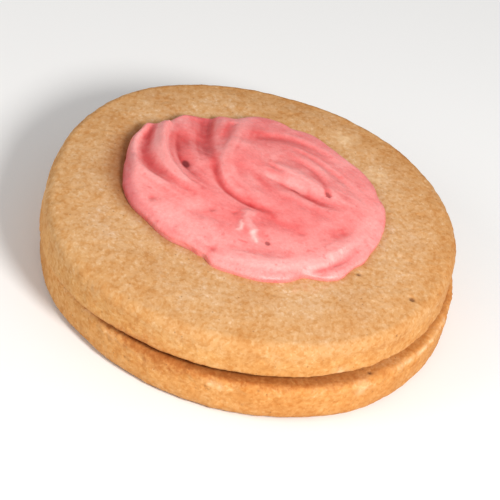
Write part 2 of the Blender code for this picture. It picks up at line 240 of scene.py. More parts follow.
# A stroke: the line of its crest or groove, its height (below zero for a groove), its half width to the left
# and right of travel, and the shares of its length that fade in and out
Stroke = namedtuple("Stroke", "line height left right fade_in fade_out")
ICING_STROKES = (
    # the sharp ridge along the left edge and the hollow inside it
    (((-22.4, 14), (-23.9, 9), (-23.7, 4.6), (-22.4, 1.4), (-20.4, -1), (-17.3, -2.9), (-13.2, -4.7),
      (-8.5, -6.3)),
     0.75, 1.1, 1.7, 0, 0.55),
    (((-21.4, 15.5), (-21.9, 10), (-21.3, 6.2), (-20, 2.8), (-18, 0.4), (-15.4, -1.7), (-11.8, -3.8)),
     -0.62, 1.4, 1.9, 0, 0.55),
    # the high ridge next to it, and the hollow on its steep inner side
    (((-18.7, 17), (-19, 11.4), (-18.4, 7), (-17.3, 4), (-15.7, 1.4), (-12.5, -1.5), (-5.6, -3.9)),
     1.4, 0.8, 1.6, 0.1, 0.7),
    (((-16.5, 17), (-16.1, 10.6), (-15.1, 6.2), (-13.2, 2.8), (-10, 0.2), (-6.8, -0.9)),
     -0.75, 2.8, 0.7, 0.3, 0.45),
    # the shoulder to the right of the wide hollow, the hollow and its deepest line
    (((-5.4, 23.5), (-6.2, 14.5), (-6.9, 8), (-6.1, 3.2), (-3.6, 0.4), (0.6, -1.6), (5, -3.4)),
     0.5, 2.5, 1.3, 0, 0.6),
    (((-13, 23), (-12.4, 15), (-11.4, 9), (-9.8, 4.6)), -1.05, 2.6, 2.9, 0, 0.5),
    (((-11.8, 22), (-11.3, 15.5), (-10.3, 10), (-9.1, 5.2)), -0.75, 1.1, 1.8, 0, 0.4),
    # the groove along the shoulder's foot
    (((-9, 9), (-8.2, 4.4), (-6.7, 1), (-4.6, -1.1), (-1.8, -2.6), (1.6, -3.5), (5.4, -3.7)),
     -0.55, 0.7, 0.8, 0.25, 0.3),
    # arcs round the far right side
    (((-4, 15.3), (-1, 17.8), (3.2, 19.1), (8.4, 18), (13, 15.2), (17, 11.8)), -0.36, 1.1, 1.6, 0.2, 0.5),
    (((0.4, 15), (4.4, 15.8), (8.4, 14.8), (12, 12.6), (15.6, 9.8), (18.6, 7.4), (21, 5.8)),
     -0.3, 0.8, 1, 0.45, 0.4),
    (((2.2, 13.2), (5.8, 12.8), (8.9, 11.4), (10.9, 8.8), (12.2, 6), (12.8, 4.6)),
     -0.33, 0.7, 0.8, 0.5, 0.02),
    (((0.6, 9.8), (2.3, 8.8), (4.6, 7.9)), -0.32, 0.6, 0.7, 0.3, 0.4),
    # the ridge and the groove across the middle of the right side
    (((-1.5, 8.4), (4, 8.4), (8.5, 7.2), (12, 5.8), (16, 5), (20, 4.6)), 0.5, 2, 1, 0.3, 0.5),
    (((-0.4, 5.8), (3, 5.4), (6.5, 5), (9.2, 4), (12, 3.3), (16.5, 2.4)), -0.9, 0.75, 1.5, 0.4, 0.4),
    # the swollen edge at the front and right, and marks along it
    (((-5, -17), (0, -17.4), (5, -17), (9.6, -15.4), (13.4, -12.6), (17, -8.4), (19.8, -3), (21.4, 3)),
     0.42, 1.7, 1.5, 0.2, 0.3),
    (((12, -17.2), (13.8, -15), (16.2, -12.6), (18.9, -8.9), (21, -4.8)), -0.45, 0.6, 0.8, 0, 0.5),
    (((11, -7.4), (14.6, -5.6), (16.6, -2), (16.8, 2)), -0.2, 2.6, 2.6, 0.4, 0.4),
    (((-6, -15.8), (-1.5, -15.4), (3, -14.6), (7.4, -13)), -0.18, 1.3, 1.4, 0.3, 0.3),
    (((-7.4, -16.2), (-5.6, -16.4), (-3.9, -17.4)), -0.4, 0.5, 0.9, 0.4, 0.4),
    # a soft swell and a groove on the shoulder's flanks
    (((-4, 15), (-3.2, 9.5), (-2, 4)), 0.26, 2.8, 2.8, 0.2, 0.4),
    (((-7.1, 20), (-8.1, 15), (-8.9, 10)), -0.24, 1.1, 1, 0.1, 0.6),
    # a small ridge and shallow smears in the middle
    (((-0.4, -4.4), (-0.5, -8), (1.6, -11)), 0.4, 1.3, 1, 0.2, 0.1),
    (((-13, -9.4), (-8, -9), (-2.4, -10)), -0.2, 1, 1.1, 0.4, 0.4),
    (((1.2, -4.6), (3.8, -6.4), (7.2, -7.2), (11.5, -7)), -0.18, 1.5, 1.8, 0.3, 0.5),
    (((3, 1.2), (8, 0.2), (13, -0.6), (17, -1.4)), -0.22, 1.1, 1.6, 0.4, 0.3),
)
# Fruit seeds sunk in the icing: (x, y, length, width, turn, depth of the hollow, share of dark)
ICING_SEEDS = (
    (-13.6, 4.3, 0.95, 0.55, -62, 0.5, 1),
    (12.5, 5.2, 0.75, 0.35, -60, 0.4, 0.6),
    (4.1, -12.2, 0.45, 0.38, -20, 0.3, 0.7),
    (6.6, 4.7, 0.8, 0.3, -20, 0.2, 0.45),
)
# Small soft dents: (x, y, radius, depth)
ICING_DENTS = (
    (-17.8, -7.4, 0.7, 0.3),
    (-6.9, -7.1, 0.6, 0.35),
    (-3, -6.6, 0.5, 0.25),
    (9.5, -7.4, 0.6, 0.2),
    (16.6, -3.8, 0.6, 0.1),
    (-12.4, -13.2, 0.5, 0.2),
)
# Small raised marks, painted pale as glints: (points, half width, height), worked out this far to each side
GLINT_REACH = 1.5
ICING_GLINTS = (
    (((-1.4, -8.5), (-1.45, -8.95)), 0.3, 0.1),
    (((-1.15, -9.35), (-1.25, -9.8)), 0.42, 0.17),
    (((-1.1, -10.4), (-1.6, -10.8)), 0.36, 0.12),
    (((1.15, -11), (1.6, -11.9)), 0.55, 0.22),
    (((1.9, -12.4), (2.1, -12.6)), 0.3, 0.15),
    (((15.2, -10.2), (15.9, -11.4)), 0.42, 0.1),
    (((17, -8.6), (17.2, -9)), 0.25, 0.1),
)
# Patches of redder icing, partly real redness and partly painted shade in the hollows, and patches of painted
# highlight: (x, y, half length, half width, turn, amount)
ICING_BLUSH_AND_SHADE = (
    (3.7, -5.2, 3.4, 1.1, -30, 0.9),
    (8.4, -6.4, 3, 1.3, 10, 0.5),
    (17, -3.4, 2.6, 1.5, 60, 0.8),
    (18, 3.1, 2.4, 1, -10, 0.5),
    (-4.6, -16.6, 1.9, 1, -30, 1),
    (0.7, 3.8, 2.6, 0.8, -35, 1),
    (2.1, 7.6, 1.8, 0.7, -20, 0.6),
    (-12.1, -14.8, 2.6, 1, -35, 0.7),
    (-7.3, -8, 1.5, 1, -20, 0.7),
    (-17.6, -7.4, 1.3, 0.8, -40, 0.7),
    (-0.8, -2.3, 3.4, 0.9, -28, 0.7),
    (-8.6, 15.8, 3.8, 1.8, 100, 1),
    (-20.4, 4.3, 2.4, 1, -62, 0.8),
    (-9.3, 6.4, 2.8, 1.2, 100, 0.9),
    (-5.9, 6.6, 3, 1.3, 95, 0.6),
    (-16, 12.6, 3.4, 2, 95, 1),
    (-12.6, 15, 4.4, 2.6, 95, 1),
    (-1, 17.5, 5.5, 2.2, -5, 0.6),
)
# Patches of painted highlight: (x, y, half length, half width, turn, amount)
ICING_PAINTED_HIGHLIGHTS = (
    (-1.9, 3, 2.6, 1.6, -50, 0.7),
    (6.5, 5.8, 3.4, 1, -20, 0.6),
    (16.4, -9.7, 2.6, 1.6, 50, 0.5),
    (-11.4, -12, 4, 2, -35, 0.5),
    (-9.5, -6.9, 3.6, 1.6, -25, 0.4),
    (21.5, 2, 1.6, 6, 0, 0.9),
    (-23.2, 6.5, 1.1, 4.5, 0, 0.9),
    (14, 9.8, 4, 1.2, -40, 0.4),
    (-19.6, 11.5, 4.5, 0.9, 90, 0.2),
    (-18.4, 5, 3, 1, -62, 0.2),
    (1, 12, 4, 2.5, -20, 0.6),
    (1.2, 6.2, 2.4, 0.9, -28, 1),
)
# The side where the icing gets the most painted sheen
SHEEN_SIDE = -78
# Outer faces that stay in the shade, each with its width inwards
SHADY_RIMS = ((Side(194, 26, 1), 2.4), (Side(122, 9, 1), 2.6))
# Hollows are found by comparing the height with its mean over about this distance
HOLLOW_REACH = 1.1

# ---- colours

# A biscuit's colours from the face outwards and round to the base, and how strongly the pale crust, partly
# painted highlight, pales its edge
Dough = namedtuple("Dough", "name face shoulder wall flat pale_crust")
FACE_COLOUR = (0.65, 0.385, 0.188)
UPPER_DOUGH = Dough(
    "dough_upper", FACE_COLOUR, (0.62, 0.335, 0.130), (0.65, 0.335, 0.112), (0.60, 0.26, 0.075), 0.1
)
LOWER_DOUGH = Dough(
    "dough_lower", FACE_COLOUR, (0.63, 0.325, 0.112), (0.68, 0.352, 0.119), (0.58, 0.255, 0.075), 0.45
)
# Pale crust on the crisp edge, partly a painted highlight where the edge catches the light
CRUST_AND_HIGHLIGHT_COLOUR = (0.95, 0.66, 0.36)
# Painted shade on the ledge under the upper biscuit's edge
SEAM_SHADE_COLOUR = (0.44, 0.16, 0.036)
BROWNED_TINT = (0.95, 0.86, 0.75)
SPICE_COLOUR = (0.20, 0.09, 0.04)
# Painted shade in the pores and pinholes
PIT_SHADE_COLOUR = (0.16, 0.06, 0.02)
# Pale crumbs, and the painted highlight along the lower biscuit's crisp edge
FLECK_AND_HIGHLIGHT_COLOUR = (0.90, 0.66, 0.40)
SMEAR_COLOUR = (0.90, 0.36, 0.26)
# What the painted shadow beside the icing multiplies the dough's colour by
PAINTED_SHADOW_TINT = (0.46, 0.28, 0.17)
# Clouds in the dough, stretched this much from front to back: (size, detail, value of the noise where they
# start, value where they are full, tint, amount)
CLOUD_DEPTH = 1.25
DOUGH_CLOUDS = (
    (11.0, 2.0, 0.42, 0.66, (0.93, 0.85, 0.73), 1.0),
    (6.0, 3.0, 0.5, 0.7, (1.0, 1.06, 1.22), 0.7),
    (2.4, 2.0, 0.48, 0.7, (0.90, 0.79, 0.62), 0.9),
    (1.3, 1.0, 0.5, 0.72, (1.07, 1.16, 1.35), 0.9),
    (0.75, 1.0, 0.46, 0.66, (0.88, 0.76, 0.58), 0.9),
    (0.6, 1.0, 0.54, 0.7, (1.10, 1.24, 1.5), 0.9),
)

ICING_COLOUR = (0.85, 0.19, 0.183)
# Painted sheen on the front of the icing
FRONT_SHEEN_COLOUR = (0.95, 0.41, 0.385)
MILKY_COLOUR = (0.93, 0.36, 0.35)
WARM_TINT = (0.94, 0.68, 0.68)
STREAK_TINTS = ((0.95, 0.82, 0.82), (1.02, 1.14, 1.14))
# Painted shade in the icing's hollows, partly the deeper red of thicker icing
HOLLOW_SHADE_COLOUR = (0.56, 0.055, 0.056)
# Painted highlight on the icing's crests
CREST_HIGHLIGHT_COLOUR = (0.97, 0.42, 0.40)
# Colour of the patches of painted highlight
PAINTED_HIGHLIGHT_COLOUR = (0.98, 0.50, 0.47)
# Redder patches, partly painted shade in the hollows
BLUSH_AND_SHADE_TINT = (0.92, 0.56, 0.56)
SHADY_TINT = (0.78, 0.55, 0.60)
GRAIN_TINT = (0.94, 0.82, 0.82)
RED_FLECK_COLOUR = (0.68, 0.08, 0.08)
# Colour of the painted glints
GLINT_COLOUR = (0.98, 0.68, 0.63)
SEED_COLOUR = (0.19, 0.012, 0.014)

JAM_COLOURS = ((0.10, 0.004, 0.008), (0.26, 0.012, 0.02))

# ---- stage

ROOM_STRENGTH = 0.47
# Direction and height in the sky in degrees, distance and size in metres, and power in watts
Lamp = namedtuple("Lamp", "azimuth elevation distance size power")
KEY_LIGHT = Lamp(-54, 39, 0.42, 0.12, 1.74)
FILL_LIGHT = Lamp(205, 30, 0.5, 0.3, 0.58)
LAMP_COLOUR = (1.0, 0.98, 0.95)
FLOOR_HALF_SIZE = 3.0
FLOOR_COLOUR = (0.86, 0.86, 0.86, 1.0)

# The camera's height in the sky and turn about its line of sight in degrees, its distance, lens and sensor in
# millimetres, and how far its aim is moved right and up from the upper biscuit's centre
CAMERA_ELEVATION = 38.95
CAMERA_ROLL = 14.6
CAMERA_DISTANCE = 800
CAMERA_LENS = 318.528
CAMERA_SENSOR = 36
CAMERA_AIM = (2.6, 4.72)


# ---- numbers

def lattice(ix, iy, iz, seed):
    """A fixed value from -1 to 1 for each whole-number point, made by mixing the bits of its coordinates."""
    with np.errstate(over="ignore"):
        mixed = ix * np.uint32(374761393) + iy * np.uint32(668265263) + iz * np.uint32(2246822519)
        mixed = mixed + np.uint32(seed * 3266489917 % 2**32)
        for shift, factor in ((13, 1274126177), (15, 2654435761), (16, 1)):
            mixed = (mixed ^ (mixed >> np.uint32(shift))) * np.uint32(factor)
    return mixed.astype(np.float64) / 2147483647.5 - 1


def noise(x, y, z, size, seed):
    """Smooth noise from -1 to 1 whose bumps are about size across."""
    px, py, pz = x / size, y / size, np.broadcast_to(np.asarray(z, float) / size, np.shape(x))
    fx, fy, fz = np.floor(px), np.floor(py), np.floor(pz)
    wx, wy, wz = (ease(p - f) for p, f in ((px, fx), (py, fy), (pz, fz)))
    ix, iy, iz = (f.astype(np.int64).astype(np.uint32) for f in (fx, fy, fz))
    one = np.uint32(1)
    total = np.zeros(np.shape(x))
    with np.errstate(over="ignore"):
        for dx, sx in ((0, 1 - wx), (1, wx)):
            for dy, sy in ((0, 1 - wy), (1, wy)):
                for dz, sz in ((0, 1 - wz), (1, wz)):
                    corner = lattice(ix + one * dx, iy + one * dy, iz + one * dz, seed)
                    total += corner * sx * sy * sz
    return total


def rough(x, y, z, kind, seed=0):
    """Noise of one kind with its finer layers added on top."""
    total = np.zeros(np.shape(x))
    for layer in range(kind.layers):
        total += noise(x, y, z, kind.size / 2**layer, kind.seed + seed + layer) / 2**layer
    return kind.amount * total


def rough_edge(angle, edge, seed=0):
    return rough(np.cos(angle) * edge.radius, np.sin(angle) * edge.radius, edge.level, edge.kind, seed)


def ease(share):
    """A smooth step from 0 to 1."""
    share = np.clip(share, 0, 1)
    return share * share * (3 - 2 * share)


def bump(radius, *offsets):
    """A soft round bump: 1 at its middle, falling off with the distance that the offsets make up."""
    return np.exp(-sum(offset**2 for offset in offsets) / radius**2)


def wave(angle, waves):
    """Outward amount of an uneven outline at each angle."""
    return sum(c * np.cos(n * angle) + s * np.sin(n * angle) for n, c, s in waves)


def towards(angle, side):
    """How much of a side's amount each angle gets."""
    away = (np.degrees(angle) - side.direction + 180) % 360 - 180
    return side.amount * np.exp(-((away / side.half_width) ** 2))


def lean(angle, direction):
    """From 1 in a direction to -1 opposite it."""
    return np.cos(angle - math.radians(direction))


def turned(x, y, middle_x, middle_y, degrees):
    """Coordinates about a middle, along and across a turned direction."""
    c, s = math.cos(math.radians(degrees)), math.sin(math.radians(degrees))
    return (x - middle_x) * c + (y - middle_y) * s, (y - middle_y) * c - (x - middle_x) * s


# ---- meshes

def disc_grid(cells):
    """A square grid mapped evenly to a disc: share of the radius and angle for each point, faces and border."""
    line = np.linspace(-1, 1, cells + 1)
    a, b = np.meshgrid(line, line)
    a, b = a.ravel(), b.ravel()
    wide = np.abs(a) > np.abs(b)
    share = np.where(wide, a, b)
    safe = np.where(share == 0, 1, share)
    eighth = math.pi / 4
    angle = np.where(wide, eighth * b / safe, 2 * eighth - eighth * a / safe)
    angle = np.where(share < 0, angle + math.pi, angle)
    side = cells + 1
    index = np.arange(side * side).reshape(side, side)
    corners = (index[:-1, :-1], index[:-1, 1:], index[1:, 1:], index[1:, :-1])
    faces = np.stack(corners, axis=-1).reshape(-1, 4)
    border = np.concatenate([index[0, :-1], index[:-1, -1], index[-1, :0:-1], index[:0:-1, 0]])
    return np.abs(share), angle, faces, border


def closed_faces(cells, rings):
    """Faces of a closed round: a top disc, rings down the side and in below, and a middle point."""
    _, _, faces, border = disc_grid(cells)
    points = (cells + 1) ** 2
    around = 4 * cells
    loops = [border]
    loops += [points + ring * around + np.arange(around) for ring in range(rings)]
    quads = [faces]
    for upper, lower in zip(loops, loops[1:]):
        quads.append(np.stack([upper, lower, np.roll(lower, -1), np.roll(upper, -1)], axis=-1))
    middle = np.full(around, points + rings * around)
    fan = np.stack([loops[-1], middle, np.roll(loops[-1], -1)], axis=-1)
    return [np.concatenate(quads), fan]


def make_mesh(name, points, faces, material, values):
    """A smooth mesh from points in millimetres and faces, with named values on its points for the material."""
    mesh = bpy.data.meshes.new(name)
    mesh.vertices.add(len(points))
    mesh.vertices.foreach_set("co", (points * MM).astype(np.float32).ravel())
    corners = np.concatenate([part.ravel() for part in faces])
    widths = np.concatenate([np.full(len(part), part.shape[1]) for part in faces])
    mesh.loops.add(len(corners))
    mesh.loops.foreach_set("vertex_index", corners.astype(np.int32))
    mesh.polygons.add(len(widths))
    mesh.polygons.foreach_set("loop_start", (np.cumsum(widths) - widths).astype(np.int32))
    mesh.update(calc_edges=True)
    mesh.validate()
    mesh.shade_smooth()
    for key, value in values.items():
        layer = mesh.attributes.new(key, "FLOAT", "POINT")
        layer.data.foreach_set("value", np.asarray(value, np.float32))
    mesh.materials.append(material)
    return mesh


def add_object(name, data):
    added = bpy.data.objects.new(name, data)
    bpy.context.scene.collection.objects.link(added)
    return added


def add_piece(name, mesh, node, place=None):
    """A shown piece that rides on the part's one body and stands for one of its solids."""
    piece = add_object(name, mesh)
    if place:
        mesh.transform(place)
    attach(piece, "root")
    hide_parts(node)


def upper_place():
    """Where the upper biscuit's own level frame sits in the part's frame."""
    rise_x, rise_y = (math.atan(rise) for rise in UPPER_RISE)
    tilt = Matrix.Rotation(-rise_x, 4, "Y") @ Matrix.Rotation(rise_y, 4, "X")
    return Matrix.Translation(Vector((*UPPER_SHIFT, THICKNESS + SEAM)) * MM) @ tilt


def grid_blur(field, cells, reach):
    """A disc grid's values after three running means each way, over reach cells to both sides."""
    values = field.reshape(cells + 1, cells + 1)
    width = 2 * reach + 1
    for _ in range(6):
        sums = np.cumsum(np.pad(values, ((reach + 1, reach), (0, 0)), mode="edge"), axis=0)
        values = ((sums[width:] - sums[:-width]) / width).T
    return values.ravel()


# ---- biscuits

def biscuit_surface(form):
    """A plain baked round with its face on top.

    Gives x, y, z, the outward and upward shares of the normal, the zone and the angle of each point, and the
    faces. The zone runs from 0 where the face meets the shoulder, through 1 at the top of the wall and 2 at
    its foot, to 3 where the flat base begins. It runs on by 1 for each ZONE_REACH inwards, on the face (below
    0) and on the base.
    """
    share, angle, _, border = disc_grid(FACE_CELLS)
    around = angle[border]

    def outline(at):
        ragged = form.ragged * rough_edge(at, OUTLINE_NOISE, form.seed)
        return form.radius + wave(at, form.waves) + ragged

    def shoulder_at(at):
        return form.shoulder + rough_edge(at, SHOULDER_NOISE, form.seed)

    step = math.tau * form.radius / (4 * FACE_CELLS)
    rim, shoulder = outline(around), shoulder_at(around)
    crisp = form.crisp * (1 + rough_edge(around, CRISP_NOISE, form.seed))
    crown = THICKNESS - form.droop
    # each ring: distance from the middle, angle, height, outward and upward shares of the normal, zone
    rings = []

    def add_ring(away, level, out, up, zone):
        rings.append((away, around, level, out, up, zone))

    face_droop = form.droop * np.clip((share - (1 - DROOP_SHARE)) / DROOP_SHARE, 0, 1) ** 2
    face_zone = -(1 - share) * form.radius / ZONE_REACH
    face_away = share * (outline(angle) - shoulder_at(angle))
    rings.append((face_away, angle, THICKNESS - face_droop, 0.0, 1.0, face_zone))

    rows = max(4, round(math.pi / 2 * form.shoulder / step))
    for i in range(1, rows + 1):
        out, up = math.sin(math.pi / 2 * i / rows), math.cos(math.pi / 2 * i / rows)
        add_ring(rim - shoulder * (1 - out), crown - shoulder * (1 - up), out, up, i / rows)

    rows = max(6, round((crown - form.shoulder - form.crisp) / step))
    for i in range(1, rows):
        down = i / rows
        add_ring(rim, (crown - shoulder) * (1 - down) + crisp * down, 1.0, 0.0, 1 + down)

    rows = max(3, round(math.pi / 2 * form.crisp / step))
    for i in range(rows + 1):
        out, down = math.cos(math.pi / 2 * i / rows), math.sin(math.pi / 2 * i / rows)
        add_ring(rim - crisp * (1 - out), crisp * (1 - down), out, -down, 2 + i / rows)

    for i in range(1, BASE_ROWS + 1):
        inward = BASE_REACH * (i / BASE_ROWS) ** BASE_SPACING
        add_ring(rim - crisp - inward, 0 * around, 0.0, -1.0, 3 + inward / ZONE_REACH)

    middle = np.zeros(1)
    rings.append((middle, middle, middle, 0.0, -1.0, 3 + BASE_REACH / ZONE_REACH))

    def gather(index):
        return np.concatenate([np.broadcast_to(ring[index], ring[1].shape) for ring in rings])

    away, turn, z, out, up, zone = (gather(i) for i in range(6))
    faces = closed_faces(FACE_CELLS, len(rings) - 2)
    return away * np.cos(turn), away * np.sin(turn), z, out, up, zone, turn, faces


def biscuit_relief(x, y, z, zone, form):
    """How far each point of a biscuit stands out from its plain form: swells, lumps, sandy grain and cracks."""
    wall = ease(zone) * ease(3 - zone)
    base = ease((zone - 2.5) * 2)
    sandy = rough(x, y, z, DOUGH_SAND, form.seed)
    grain = SAND_HEIGHT * np.sign(sandy) * np.abs(sandy) ** SAND_SHARPNESS
    fine = rough(x, y, z, DOUGH_LUMPS, form.seed) + grain
    amount = rough(x, y, z, DOUGH_SWELL, form.seed) * (1 - base) + fine * (1 + 0.35 * wall) * (1 - 0.5 * base)
    cracks = rough(x, y, z, DOUGH_CRACKS, form.seed)
    amount -= CRACK_DEPTH * wall * ease((cracks - 0.6) / 0.5)
    crisp = ease((zone - 1.7) / 0.3) * ease((2.9 - zone) / 0.3)
    return amount + form.crumbly * crisp * rough(x, y, z, CRUMBLY_EDGE, form.seed)


def sink_pits(x, y, z, pits):
    """Depth of small round pits, each (x, y, z, radius, depth)."""
    depth = np.zeros(x.shape)
    for px, py, pz, radius, deep in pits:
        reach = 3 * radius
        near = (np.abs(x - px) < reach) & (np.abs(y - py) < reach) & (np.abs(z - pz) < reach)
        depth[near] += deep * bump(radius, x[near] - px, y[near] - py, z[near] - pz)
    return depth


def scattered_pits(form):
    """Pores at even random places on the face and the wall of a biscuit."""
    draw = np.random.default_rng(form.seed)
    pits = []
    for _ in range(PORES):
        turn = draw.uniform(0, math.tau)
        size = draw.uniform(*PORE_RADII)
        if draw.random() < PORES_ON_FACE:
            away = (form.radius - PORE_MARGIN) * math.sqrt(draw.random())
            level, depth = THICKNESS - 0.05, size * 0.6
        else:
            away = form.radius
            level, depth = draw.uniform(0.6, THICKNESS - 2), size * 0.8
        pits.append((away * math.cos(turn), away * math.sin(turn), level, size, depth))
    return pits


def pale_crumbs(x, y, z, spots):
    """Where pale crumbs cling: broken up round each spot (x, y, z, radius)."""
    grains = 0.3 + 0.7 * ease((rough(x, y, z, CRUMB_GRAINS) + 0.3) / 0.6)
    return sum(bump(radius, x - px, y - py, z - pz) for px, py, pz, radius in spots) * grains


def edge_highlight_line():
    """Pale crumbs side by side along a stretch of an edge, as a painted highlight."""
    radius, level, width, first, last = EDGE_HIGHLIGHT_LINE
    angles = [math.radians(degrees) for degrees in range(first, last)]
    return tuple((radius * math.cos(at), radius * math.sin(at), level, width) for at in angles)


def icing_shadow_and_smears(x, y, zone):
    """Painted shadow of the icing on the dough, widest on its left side, and faint pink smears beside it."""
    across, along = x - ICING_CENTRE[0], y - ICING_CENTRE[1]
    angle = np.arctan2(along, across)
    outside = np.hypot(across, along) - icing_outline(angle)
    near_side = towards(angle, PAINTED_SHADOW_SIDE)
    left = 0.2 + 0.8 * np.clip(lean(angle, PAINTED_SHADOW_SIDE.direction), 0, 1)
    reach = PAINTED_SHADOW_REACH + PAINTED_SHADOW_EXTRA * near_side
    on_face = zone < 0
    painted_shadow = np.exp(-((np.maximum(outside, 0) / reach) ** 2)) * left * (0.75 + 0.25 * near_side) * on_face
    smears = sum(bump(radius, x - px, y - py) for px, py, radius in PINK_SMEARS)
    return painted_shadow, smears * ease(rough(x, y, 0, SMEAR_GRAINS) + 0.6) * on_face


def make_biscuit(name, node, form, dough, pinholes, crumbs, turned_over=False):
    """One biscuit. The lower one is turned over, and the upper one hangs down a little at the left."""
    x, y, z, out, up, zone, turn, faces = biscuit_surface(form)
    pitted = sink_pits(x, y, z, scattered_pits(form) + list(pinholes))
    amount = biscuit_relief(x, y, z, zone, form) - pitted
    outward = amount * out
    points = np.stack([x + outward * np.cos(turn), y + outward * np.sin(turn), z + amount * up], axis=1)
    radius = np.hypot(x, y)
    if turned_over:
        points *= (1, -1, -1)
        points[:, 2] = np.maximum(points[:, 2] + THICKNESS, 0.0)
    else:
        near_rim = ease((radius - SEAM_DROOP_RADIUS) / SEAM_DROOP_WIDTH) * ease((zone - 0.6) / 1.2)
        points[:, 2] -= towards(turn, SEAM_DROOP) * near_rim
    facing = -turn if turned_over else turn
    browned = ease((radius / form.radius - 0.5) / 0.5) * (0.5 + 0.5 * lean(turn, BROWN_SIDE))
    values = {
        "zone": zone,
        "pit": pitted * PIT_DARKNESS,
        "brown": browned,
        "shade": 1 - towards(facing, LIT_LEDGE),
        "line": towards(facing, BROWN_LINE),
        # pale crumbs, and on the lower biscuit also the painted highlight along its crisp edge
        "fleck_and_highlight": np.clip(pale_crumbs(x, y, z, crumbs), 0, 1),
    }
    if not turned_over:
        # painted shadow of the icing on the dough, and faint pink smears
        values["painted_shadow"], values["smear"] = icing_shadow_and_smears(x, y, zone)
    mesh = make_mesh(name, points, faces, biscuit_material(dough), values)
    add_piece(name, mesh, node, None if turned_over else upper_place())


# ---- jam

def make_jam():
    """A thin layer between the two biscuits, with a bulging edge."""
    share, angle, _, border = disc_grid(JAM_CELLS)
    around = angle[border]

    def outline(at):
        return JAM_RADIUS + wave(at, JAM_WAVES) + towards(at, JAM_TONGUE) + rough_edge(at, JAM_NOISE)

    edge = outline(around) - JAM_EDGE
    # each ring: distance from the middle, angle and share of the layer's height
    rings = [(share * (outline(angle) - JAM_EDGE), angle, 1.0)]
    for i in range(1, JAM_ROWS):
        bend = math.pi * i / JAM_ROWS
        rings.append((edge + JAM_BULGE * math.sin(bend), around, 0.5 + 0.5 * math.cos(bend)))
    rings += [(edge, around, 0.0), (np.zeros(1), np.zeros(1), 0.0)]
    x = np.concatenate([away * np.cos(turn) for away, turn, _ in rings])
    y = np.concatenate([away * np.sin(turn) for away, turn, _ in rings])
    level = np.concatenate([np.full(turn.shape, height) for _, turn, height in rings])
    rise = UPPER_RISE[0] * (x - UPPER_SHIFT[0]) + UPPER_RISE[1] * (y - UPPER_SHIFT[1])
    low, high = THICKNESS - JAM_OVERLAP, THICKNESS + SEAM + rise + JAM_OVERLAP
    points = np.stack([x, y, low + (high - low) * level], axis=1)
    mesh = make_mesh("jam_look", points, closed_faces(JAM_CELLS, JAM_ROWS), jam_material(), {})
    add_piece("jam_look", mesh, "jam")


# ---- icing

def smooth_line(points, steps=12):
    """A Catmull-Rom line through a stroke's points."""
    fixed = np.array(points, float)
    ends = np.vstack([2 * fixed[0] - fixed[1], fixed, 2 * fixed[-1] - fixed[-2]])
    share = np.linspace(0, 1, steps, endpoint=False)[:, None]
    pieces = []
    for a, b, c, d in zip(ends, ends[1:], ends[2:], ends[3:]):
        bend = 2 * a - 5 * b + 4 * c - d
        turn = 3 * b - a - 3 * c + d
        pieces.append(0.5 * (2 * b + (c - a) * share + bend * share**2 + turn * share**3))
    pieces.append(fixed[-1:])
    return np.vstack(pieces)


def from_line(x, y, line):
    """Distance from a line, positive on the left of travel, the share of its length, and its length."""
    steps = np.diff(line, axis=0)
    lengths = np.hypot(steps[:, 0], steps[:, 1])
    starts = np.concatenate([[0.0], np.cumsum(lengths)])
    nearest = np.full(x.shape, np.inf)
    side = np.zeros(x.shape)
    along = np.zeros(x.shape)
    for (start_x, start_y), (step_x, step_y), length, start in zip(line, steps, lengths, starts):
        share = np.clip(((x - start_x) * step_x + (y - start_y) * step_y) / length**2, 0, 1)
        away_x = x - start_x - share * step_x
        away_y = y - start_y - share * step_y
        distance = np.hypot(away_x, away_y)
        closer = distance < nearest
        nearest = np.where(closer, distance, nearest)
        side = np.where(closer, np.sign(step_x * away_y - step_y * away_x), side)
        along = np.where(closer, (start + share * length) / starts[-1], along)
    return nearest * side, along, starts[-1]


def near_stroke(x, y, points, reach):
    """The points within reach of a smooth line, with what from_line gives for them."""
    line = smooth_line(points)
    low, high = line.min(axis=0) - reach, line.max(axis=0) + reach
    near = (x > low[0]) & (x < high[0]) & (y > low[1]) & (y < high[1])
    return near, *from_line(x[near], y[near], line)


def stroke_relief(x, y, stroke, number):
    """Height that one stroke adds, and the fine lines that the knife leaves beside it."""
    relief, streaks = np.zeros(x.shape), np.zeros(x.shape)
    reach = STROKE_REACH * max(stroke.left, stroke.right)
    near, distance, along, length = near_stroke(x, y, stroke.line, reach)
    width = np.where(distance > 0, stroke.left, stroke.right)
    fade = ease((1 - along) / stroke.fade_out)
    if stroke.fade_in:
        fade = fade * ease(along / stroke.fade_in)
    relief[near] = stroke.height * fade * np.exp(-((distance / width) ** 2))
    if abs(stroke.height) > SMOOTH_STROKE:
        beside = np.exp(-((distance / (width + STREAK_REACH)) ** 2))
        beside = beside * ease(along / 0.15) * ease((1 - along) / 0.2)
        lines = noise(distance / STREAK_WIDTH, along * length / STREAK_LENGTH, 0, 1, STREAK_SEED + number)
        streaks[near] = lines * beside
    return relief, streaks


def knife_relief(x, y):
    """Height and fine lines from all strokes together."""
    parts = [stroke_relief(x, y, Stroke(*row), number) for number, row in enumerate(ICING_STROKES)]
    relief, streaks = (sum(part) for part in zip(*parts))
    return relief * RELIEF_GAIN, np.clip(streaks, -STREAK_LIMIT, STREAK_LIMIT)


